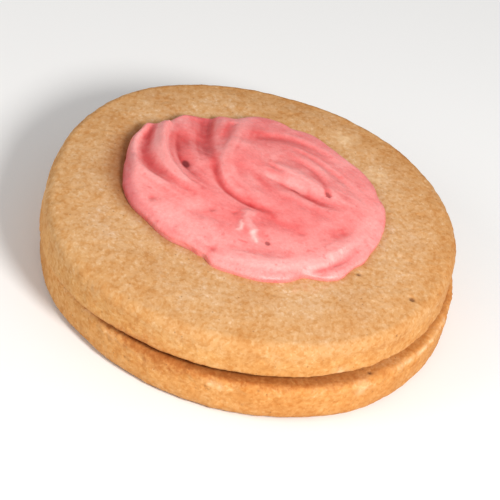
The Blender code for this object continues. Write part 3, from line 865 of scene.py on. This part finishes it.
def icing_marks(x, y):
    """Hollows and dark shares of the seeds, dents, and the raised marks that are painted pale as glints."""
    hollow, dark, crumbs = np.zeros(x.shape), np.zeros(x.shape), np.zeros(x.shape)
    for px, py, long, wide, turn, depth, share in ICING_SEEDS:
        along, across = turned(x, y, px, py, turn)
        away = (along / long) ** 2 + (across / wide) ** 2
        hollow += depth * np.exp(-away * 0.6) - 0.45 * depth * np.exp(-away * 2.2)
        dark += share * ease((1.9 - away) / 1.4)
    for px, py, radius, depth in ICING_DENTS:
        hollow += depth * bump(radius, x - px, y - py)
    for points, width, height in ICING_GLINTS:
        near, distance, _, _ = near_stroke(x, y, points, GLINT_REACH)
        lumpy = 1 + rough(x[near], y[near], 0, GLINT_LUMPS)
        crumbs[near] += height * np.exp(-((distance / width) ** 2)) * lumpy
    return hollow, np.clip(dark, 0, 1), crumbs


def colour_patches(x, y, patches):
    """Soft uneven patches of another shade, from 0 to 1."""
    total = np.zeros(x.shape)
    for px, py, long, wide, turn, amount in patches:
        along, across = turned(x, y, px, py, turn)
        total += amount * np.exp(-((along / long) ** 2) - (across / wide) ** 2)
    return np.clip(total * (1 + rough(x, y, 0, PATCH_NOISE)), 0, 1)


def icing_outline(angle):
    """Distance of the icing's edge from its centre at each angle."""
    radius = np.full(angle.shape, ICING_RADIUS)
    for lobe in ICING_LOBES:
        radius = radius + towards(angle, Side(*lobe))
    return radius + rough_edge(angle, ICING_NOISE)


def icing_height(x, y):
    """Height of the icing above the biscuit, for points about its centre, and what its material reads."""
    angle = np.arctan2(y, x)
    radius = np.hypot(x, y)
    inside = icing_outline(angle) - radius
    high = np.clip(lean(angle, HIGH_RIM_DIRECTION), 0, 1)
    soft = 0.5 + 0.5 * lean(angle, SOFT_RIM_DIRECTION)
    rim = RIM_HEIGHT + HIGH_RIM_EXTRA * high**2 * ease(radius / HIGH_RIM_REACH)
    rim_width = RIM_WIDTH + SOFT_RIM_EXTRA * soft**2 + towards(angle, SLANTED_RIM)
    # from 0 at the very edge to 1 where the rounded rim ends
    held = np.sqrt(1 - np.clip(1 - inside / rim_width, 0, 1) ** 2)
    dome = DOME_HEIGHT * (1 - np.clip(radius / ICING_RADIUS, 0, 1) ** DOME_POWER)
    body = ICING_FOOT + (rim - ICING_FOOT) * held + dome
    at_x, at_y = x + ICING_CENTRE[0], y + ICING_CENTRE[1]
    relief, streaks = knife_relief(at_x, at_y)
    at_edge = RELIEF_AT_EDGE + towards(angle, OPEN_EDGE)
    keep = (at_edge + (1 - at_edge) * ease(inside / RELIEF_FADE)) * held
    uneven = rough(at_x, at_y, 0, ICING_SWELL) + rough(at_x, at_y, 0, ICING_LUMPS)
    hollow, dark, crumbs = icing_marks(at_x, at_y)
    height = body + (relief + STREAK_HEIGHT * streaks) * keep + (uneven - hollow + crumbs) * held
    return np.maximum(height, ICING_FOOT * LEAST_HEIGHT), streaks, dark, np.clip(crumbs * 5, 0, 1)


def icing_reach(share, outline):
    """Distance from the centre for each share of the grid, closely spaced where the edge rolls over."""
    flat_share = 1 - ROLLED_SHARE
    turn = math.pi / 2 * np.clip((1 - share) / ROLLED_SHARE, 0, 1)
    near_edge = outline - ROLLED_WIDTH * (1 - np.cos(turn))
    return np.where(share > flat_share, near_edge, (outline - ROLLED_WIDTH) * share / flat_share)


def hollows(height, inside):
    """How far each point of the icing lies below its surroundings, weaker at the very edge."""
    reach = max(2, round(HOLLOW_REACH / (2 * ICING_RADIUS / ICING_CELLS)))
    near = grid_blur(height, ICING_CELLS, reach) - height
    wide = grid_blur(height, ICING_CELLS, 2 * reach) - height
    return (near + 0.4 * wide) * (0.25 + 0.75 * ease((inside - 0.3) / 1.5))


def make_icing():
    """The icing: a relief on a disc grid, rings down its side, and a middle point that closes it below."""
    share, angle, _, border = disc_grid(ICING_CELLS)
    around = angle[border]
    outline = icing_outline(angle)
    radius = icing_reach(share, outline)
    inside = outline - radius
    x, y = radius * np.cos(angle), radius * np.sin(angle)
    z, streaks, dark, crumbs = icing_height(x, y)
    xs, ys, zs = [x], [y], [z]
    for i in range(1, SIDE_ROWS + 1):
        down = i / SIDE_ROWS
        foot = outline[border] - UNDERCUT * down**2
        xs.append(foot * np.cos(around))
        ys.append(foot * np.sin(around))
        zs.append(z[border] * (1 - down) - SIDE_SUNK * down)
    middle = np.zeros(1)
    points = np.stack([np.concatenate([*parts, middle]) for parts in (xs, ys, zs)], axis=1)
    points[-1, 2] = -MIDDLE_SUNK
    points += (*ICING_CENTRE, THICKNESS - BASE_SUNK)

    # painted sheen, strongest towards the front and out to the edge
    front = 0.5 + 0.5 * lean(angle, SHEEN_SIDE)
    pale = ease((share - 0.4) / 0.4) * (0.1 + 0.9 * front**1.2)
    shady = np.zeros(angle.shape)
    for side, width in SHADY_RIMS:
        shady = np.maximum(shady, towards(angle, side) * ease(1 - inside / width))
    at_x, at_y = x + ICING_CENTRE[0], y + ICING_CENTRE[1]
    on_top = {
        "streak": streaks,
        "seed": dark,
        "crumb": crumbs,
        "hollow": hollows(z, inside),
        "blush_and_shade": colour_patches(at_x, at_y, ICING_BLUSH_AND_SHADE),
        "painted_highlight": colour_patches(at_x, at_y, ICING_PAINTED_HIGHLIGHTS),
    }
    below = np.zeros(len(around) * SIDE_ROWS + 1)
    # the first two run on down the side, and the others stop at its upper edge
    values = {
        key: np.concatenate([top, np.tile(top[border], SIDE_ROWS), middle])
        for key, top in (("pale", pale), ("shady", shady))
    }
    values.update((key, np.concatenate([top, below])) for key, top in on_top.items())
    mesh = make_mesh("icing_look", points, closed_faces(ICING_CELLS, SIDE_ROWS), icing_material(), values)
    add_piece("icing_look", mesh, "icing", upper_place())


# ---- materials

class Paint:
    """A material whose base colour is built up in layers."""

    def __init__(self, name, colour):
        self.material = bpy.data.materials.new(name)
        self.material.use_nodes = True
        self.tree = self.material.node_tree
        self.shader = self.tree.nodes["Principled BSDF"]
        self.colour = colour

    def node(self, kind, inputs=(), **settings):
        """Adds a node and fills its inputs, each (name or number, value or link)."""
        node = self.tree.nodes.new(kind)
        for key, value in settings.items():
            setattr(node, key, value)
        for name, value in inputs:
            self.fill(node.inputs[name], value)
        return node

    def fill(self, socket, value):
        """Sets an input to a value, or links it to another node's output."""
        if isinstance(value, bpy.types.NodeSocket):
            self.tree.links.new(value, socket)
        else:
            socket.default_value = value

    def read(self, name):
        """One of the values on the mesh's points."""
        return self.node("ShaderNodeAttribute", attribute_name=name).outputs["Fac"]

    def noise(self, size, detail, rough=0.55, depth=1.0):
        """Noise whose bumps are about size millimetres, and depth times that from front to back."""
        where = self.node("ShaderNodeTexCoord").outputs["Object"]
        stretch = [(0, where), (1, (1.0, 1.0 / depth, 1.0))]
        drawn = self.node("ShaderNodeVectorMath", stretch, operation="MULTIPLY").outputs["Vector"]
        inputs = [("Vector", drawn), ("Scale", 1 / (size * MM)), ("Detail", detail), ("Roughness", rough)]
        return self.node("ShaderNodeTexNoise", inputs).outputs["Fac"]

    def specks(self, size):
        """Distance from points about size millimetres apart, as a share of that."""
        where = self.node("ShaderNodeTexCoord").outputs["Object"]
        inputs = [("Vector", where), ("Scale", 1 / (size * MM))]
        return self.node("ShaderNodeTexVoronoi", inputs).outputs["Distance"]

    def spread(self, value, low, high, to_low=0.0, to_high=1.0):
        """Maps a value from low..high to to_low..to_high and holds it there."""
        names = ("Value", "From Min", "From Max", "To Min", "To Max")
        inputs = zip(names, (value, low, high, to_low, to_high))
        return self.node("ShaderNodeMapRange", inputs).outputs["Result"]

    def cloud(self, size, detail, low, high, depth=1.0):
        """Patches where a noise is high."""
        return self.spread(self.noise(size, detail, depth=depth), low, high)

    def maths(self, operation, first, second):
        return self.node("ShaderNodeMath", [(0, first), (1, second)], operation=operation).outputs["Value"]

    def times(self, first, second):
        return self.maths("MULTIPLY", first, second)

    def wander(self, value, size, detail, amount):
        """A value moved up and down by a noise, so that what follows it has an uneven border."""
        centred = self.maths("SUBTRACT", self.noise(size, detail), 0.5)
        return self.maths("ADD", value, self.times(centred, amount))

    def blend(self, share, first, second, mode="MIX"):
        """Mixes two colours, each a colour or a link, by a share."""
        node = self.node("ShaderNodeMix", data_type="RGBA", blend_type=mode, clamp_factor=True)
        self.fill(node.inputs["Factor"], share)
        for name, value in (("A", first), ("B", second)):
            socket = next(s for s in node.inputs if s.name == name and s.type == "RGBA")
            self.fill(socket, (*value, 1.0) if isinstance(value, tuple) else value)
        return next(s for s in node.outputs if s.type == "RGBA")

    def cover(self, where, colour, amount=1.0):
        """Lays a colour over what is there."""
        self.colour = self.blend(self.times(where, amount), self.colour, colour)

    def tinted(self, tint):
        """The colour so far, multiplied by a tint."""
        return self.blend(1.0, self.colour, tint, "MULTIPLY")

    def tint(self, where, tint, amount=1.0):
        """Multiplies what is there by a tint."""
        self.colour = self.blend(self.times(where, amount), self.colour, self.tinted(tint))

    def set(self, **inputs):
        for name, value in inputs.items():
            self.fill(self.shader.inputs[name.replace("_", " ")], value)

    def finish(self, bump_size, bump_detail, bump_depth, **inputs):
        """Links the colour, adds a fine bump and sets the shader's other inputs."""
        self.set(Base_Color=self.colour, **inputs)
        height = self.noise(bump_size, bump_detail)
        node = self.node("ShaderNodeBump", [("Height", height), ("Distance", bump_depth * MM)])
        self.set(Normal=node.outputs["Normal"])
        return self.material


def biscuit_material(dough):
    """Dry baked dough: a colour for each zone under soft clouds, sandy flecks and spice specks, with painted
    shade in the pores and below the seam, painted highlight on the crisp edge and painted shadow beside the
    icing.
    """
    paint = Paint(dough.name, dough.face)
    plain_zone = paint.read("zone")
    zone = paint.wander(plain_zone, 3.0, 3.0, 1.5)
    paint.cover(paint.spread(zone, -1.4, 0.6), dough.shoulder)
    paint.cover(paint.spread(zone, 0.8, 1.5), dough.wall)
    # pale crust on the crisp edge, partly a painted highlight where the edge catches the light
    crust_and_highlight_mask = paint.times(paint.cloud(1.1, 2.0, 0.42, 0.58), paint.cloud(4.0, 2.0, 0.4, 0.62))
    paint.cover(paint.times(paint.spread(plain_zone, 1.8, 2.1), crust_and_highlight_mask), CRUST_AND_HIGHLIGHT_COLOUR, dough.pale_crust)
    # the flat base, which shows as the ledge below the seam: browner, and darkened inwards by painted shade
    # under the upper biscuit, both weaker where the light reaches it
    inner = paint.wander(paint.maths("ADD", plain_zone, paint.read("line")), 1.1, 3.0, 2.0)
    shade = paint.read("shade")
    ledge = paint.times(paint.spread(inner, 2.1, 2.85), paint.spread(shade, 0.0, 1.0, 0.3, 1.0))
    paint.cover(ledge, dough.flat)
    paint.cover(paint.times(paint.spread(inner, 2.6, 3.2), shade), SEAM_SHADE_COLOUR)
    paint.tint(paint.read("brown"), BROWNED_TINT)
    for size, detail, low, high, tint, amount in DOUGH_CLOUDS:
        paint.tint(paint.cloud(size, detail, low, high, CLOUD_DEPTH), tint, amount)
    paint.cover(paint.spread(paint.specks(2.1), 0.085, 0.055), SPICE_COLOUR, 0.5)
    # painted shade in the pores and pinholes, darker the deeper they are
    paint.cover(paint.spread(paint.read("pit"), 0.25, 1.0), PIT_SHADE_COLOUR, 0.85)
    # pale crumbs and the painted highlight along the lower biscuit's crisp edge
    paint.cover(paint.read("fleck_and_highlight"), FLECK_AND_HIGHLIGHT_COLOUR, 0.5)
    paint.cover(paint.read("smear"), SMEAR_COLOUR, 0.3)
    # painted shadow of the icing on the dough at its left
    paint.tint(paint.read("painted_shadow"), PAINTED_SHADOW_TINT)
    return paint.finish(0.6, 3.0, 0.09, Roughness=0.85, Specular_IOR_Level=0.3)


def icing_material():
    """Soft pink icing: painted highlight on the crests, painted sheen on the front, painted shade and deeper
    red in the hollows, with streaks, seeds and painted glints.
    """
    paint = Paint("icing_pink", ICING_COLOUR)
    hollow = paint.read("hollow")
    # painted sheen on the front
    paint.cover(paint.read("pale"), FRONT_SHEEN_COLOUR, 0.7)
    paint.cover(paint.cloud(5.0, 3.0, 0.38, 0.66), MILKY_COLOUR, 0.3)
    paint.tint(paint.spread(paint.noise(2.6, 3.0, 0.65), 0.5, 0.68), WARM_TINT, 0.8)
    streak = paint.spread(paint.read("streak"), -0.9, 0.9)
    paint.colour = paint.tinted(paint.blend(streak, *STREAK_TINTS))
    uneven = paint.spread(paint.noise(1.6, 3.0), 0.3, 0.7, 0.7, 1.15)
    # painted shade in the hollows, partly the deeper red of thicker icing
    paint.cover(paint.times(paint.spread(hollow, 0.03, 0.75), uneven), HOLLOW_SHADE_COLOUR)
    # painted highlight on the crests
    paint.cover(paint.spread(hollow, 0.0, -0.32), CREST_HIGHLIGHT_COLOUR, 0.65)
    # patches of painted highlight
    paint.cover(paint.read("painted_highlight"), PAINTED_HIGHLIGHT_COLOUR, 0.6)
    # redder patches, partly painted shade in the hollows
    paint.tint(paint.read("blush_and_shade"), BLUSH_AND_SHADE_TINT, 0.8)
    paint.tint(paint.read("shady"), SHADY_TINT)
    grain = paint.spread(paint.noise(0.6, 3.0, 0.7), 0.35, 0.65)
    paint.colour = paint.blend(grain, paint.tinted(GRAIN_TINT), paint.colour)
    paint.cover(paint.cloud(1.5, 1.5, 0.66, 0.74), RED_FLECK_COLOUR, 0.4)
    # painted glints on the small raised marks
    paint.cover(paint.read("crumb"), GLINT_COLOUR, 0.5)
    paint.cover(paint.read("seed"), SEED_COLOUR, 0.92)
    return paint.finish(
        0.5, 3.0, 0.08, Roughness=0.4, Specular_IOR_Level=0.4,
        Subsurface_Weight=0.15, Subsurface_Radius=(1.0, 0.35, 0.3), Subsurface_Scale=0.8 * MM,
    )


def jam_material():
    """Glossy dark red jam."""
    paint = Paint("jam_red", JAM_COLOURS[0])
    paint.cover(paint.cloud(2.0, 2.0, 0.35, 0.7), JAM_COLOURS[1])
    return paint.finish(1.2, 2.0, 0.12, Roughness=0.18, Coat_Weight=0.4)


# ---- floor, lights and camera

def make_floor():
    """A wide pale floor."""
    floor = add_object("floor", bpy.data.meshes.new("floor"))
    shape = bmesh.new()
    bmesh.ops.create_grid(shape, x_segments=1, y_segments=1, size=FLOOR_HALF_SIZE)
    shape.to_mesh(floor.data)
    shape.free()
    paint = Paint("floor_pale", FLOOR_COLOUR)
    paint.set(Base_Color=FLOOR_COLOUR, Roughness=0.8)
    floor.data.materials.append(paint.material)


def add_light(name, centre, lamp):
    """A round area lamp that faces the part's centre."""
    data = bpy.data.lights.new(name, "AREA")
    data.shape = "DISK"
    data.size = lamp.size
    data.energy = lamp.power
    data.color = LAMP_COLOUR
    light = add_object(name, data)
    azimuth, elevation = math.radians(lamp.azimuth), math.radians(lamp.elevation)
    level = math.cos(elevation)
    away = Vector((level * math.cos(azimuth), level * math.sin(azimuth), math.sin(elevation)))
    light.location = centre + away * lamp.distance
    light.rotation_euler = away.to_track_quat("Z", "Y").to_euler()


def make_lights(centre):
    """A pale room, a near soft lamp at the right front and a weak one at the left."""
    world = bpy.data.worlds.new("studio")
    world.use_nodes = True
    background = world.node_tree.nodes["Background"]
    background.inputs["Color"].default_value = (1.0, 1.0, 1.0, 1.0)
    background.inputs["Strength"].default_value = ROOM_STRENGTH
    bpy.context.scene.world = world
    add_light("key", centre, KEY_LIGHT)
    add_light("fill", centre, FILL_LIGHT)


def make_camera():
    """A long lens that looks down at the biscuit, turned a little so that its right side sits lower."""
    elevation = math.radians(CAMERA_ELEVATION)
    data = bpy.data.cameras.new("camera")
    data.sensor_width = CAMERA_SENSOR
    data.lens = CAMERA_LENS
    data.clip_start = 0.01
    data.clip_end = 20
    camera = add_object("camera", data)
    away = Vector((0, -math.cos(elevation), math.sin(elevation)))
    roll = Matrix.Rotation(math.radians(CAMERA_ROLL), 4, "Z")
    rolled = (away.to_track_quat("Z", "Y").to_matrix().to_4x4() @ roll).to_3x3()
    foot = Vector((*UPPER_SHIFT, 0)) * MM
    camera.location = foot + away * (CAMERA_DISTANCE * MM)
    # the view's own axes, once it is aimed beside the biscuit's centre
    backward = (camera.location - (foot + rolled @ Vector((*CAMERA_AIM, 0)) * MM)).normalized()
    right = (rolled @ Vector((0, 1, 0))).cross(backward).normalized()
    axes = Matrix((right, backward.cross(right), backward)).transposed().to_4x4()
    camera.matrix_world = Matrix.Translation(camera.location) @ axes
    bpy.context.scene.camera = camera


def build():
    """Everything: the four pieces, the floor, the lights and the camera."""
    make_biscuit(
        "biscuit_lower_look", "biscuit_bottom", LOWER_FORM, LOWER_DOUGH,
        LOWER_PINHOLES, LOWER_CRUMBS + edge_highlight_line(), turned_over=True,
    )
    make_jam()
    make_biscuit(
        "biscuit_upper_look", "biscuit_top", UPPER_FORM, UPPER_DOUGH,
        UPPER_PINHOLES, UPPER_CRUMBS,
    )
    make_icing()
    low, high = (Vector(corner) for corner in CAD_BOUNDS)
    make_floor()
    make_lights((low + high) / 2)
    make_camera()
    bpy.context.scene.view_settings.view_transform = "Standard"


build()
